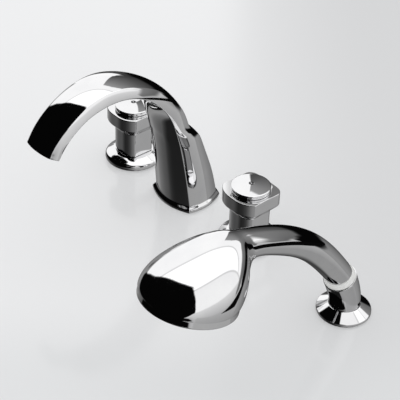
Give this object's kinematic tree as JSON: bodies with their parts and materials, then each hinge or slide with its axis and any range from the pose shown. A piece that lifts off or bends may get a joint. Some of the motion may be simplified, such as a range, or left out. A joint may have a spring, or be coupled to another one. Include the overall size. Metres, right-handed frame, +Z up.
{
  "type": "deck-mounted tub filler",
  "caption": "Chrome deck-mounted tub filler: arched ribbon spout between hot and cold knob handles, with a hand shower leaning in a cradle beside them.",
  "frame": {"origin": "axis of the spout's post at the level of the deck", "axes": "+Z up, +X along the row of deck holes from the hot handle to the hand shower, -Y forward over the tub"},
  "size_m": [0.4021, 0.2706, 0.1818],
  "materials": {
    "chrome": "polished chrome plate",
    "brass": "machined brass",
    "steel": "plain stainless steel",
    "rubber": "black rubber",
    "nylon": "milky white nylon",
    "grey_plastic": "satin grey plastic"
  },
  "bodies": {
    "deck_set": {"spout_body": "chrome", "spout_flow_former": "grey_plastic", "spout_post": "brass", "spout_seal_lower": "rubber", "spout_seal_upper": "rubber", "spout_set_screw": "steel", "spout_gasket": "rubber", "cradle_tube": "chrome", "cradle_flange": "chrome", "cradle_gasket": "rubber", "hot_escutcheon": "chrome", "hot_escutcheon_gasket": "rubber", "hot_bearing_ring": "nylon", "hot_valve_bonnet": "brass", "hot_gland_nut": "brass", "cold_escutcheon": "chrome", "cold_escutcheon_gasket": "rubber", "cold_bearing_ring": "nylon", "cold_valve_bonnet": "brass", "cold_gland_nut": "brass"},
    "hot_handle": {"hot_handle_body": "chrome", "hot_handle_cap": "chrome", "hot_cap_seal": "rubber", "hot_index_dot": "steel", "hot_index_ring": "rubber", "hot_handle_screw": "steel", "hot_stem_adapter": "nylon", "hot_valve_stem": "steel"},
    "cold_handle": {"cold_handle_body": "chrome", "cold_handle_cap": "chrome", "cold_cap_seal": "rubber", "cold_index_dot": "steel", "cold_index_ring": "rubber", "cold_handle_screw": "steel", "cold_stem_adapter": "nylon", "cold_valve_stem": "steel"},
    "shower_liner": {"cradle_liner": "nylon"},
    "hand_shower": {"shower_body": "chrome", "shower_rim": "chrome", "shower_spray_plate": "grey_plastic", "shower_nozzle_mat": "rubber", "shower_diffuser": "nylon", "shower_dock_cone": "chrome", "shower_hose_nipple": "brass", "shower_hose_washer": "rubber"}
  },
  "joints": [
    {"name": "hot_handle_turn", "type": "hinge", "parent": "deck_set", "child": "hot_handle", "pos_m": [-0.0903, 0, 0.03], "axis": [0, 0, 1], "range_deg": [0, 90]},
    {"name": "cold_handle_turn", "type": "hinge", "parent": "deck_set", "child": "cold_handle", "pos_m": [0.0998, 0, 0.03], "axis": [0, 0, 1], "range_deg": [-90, 0]},
    {"name": "hand_shower_swivel", "type": "hinge", "parent": "deck_set", "child": "shower_liner", "pos_m": [0.2369, -0.011, 0.0468], "axis": [0, -0.4226, 0.9063], "range_deg": [-45, 45]},
    {"name": "hand_shower_lift", "type": "slide", "parent": "shower_liner", "child": "hand_shower", "axis": [0, -0.4226, 0.9063], "range_m": [0, 0.06]}
  ]
}
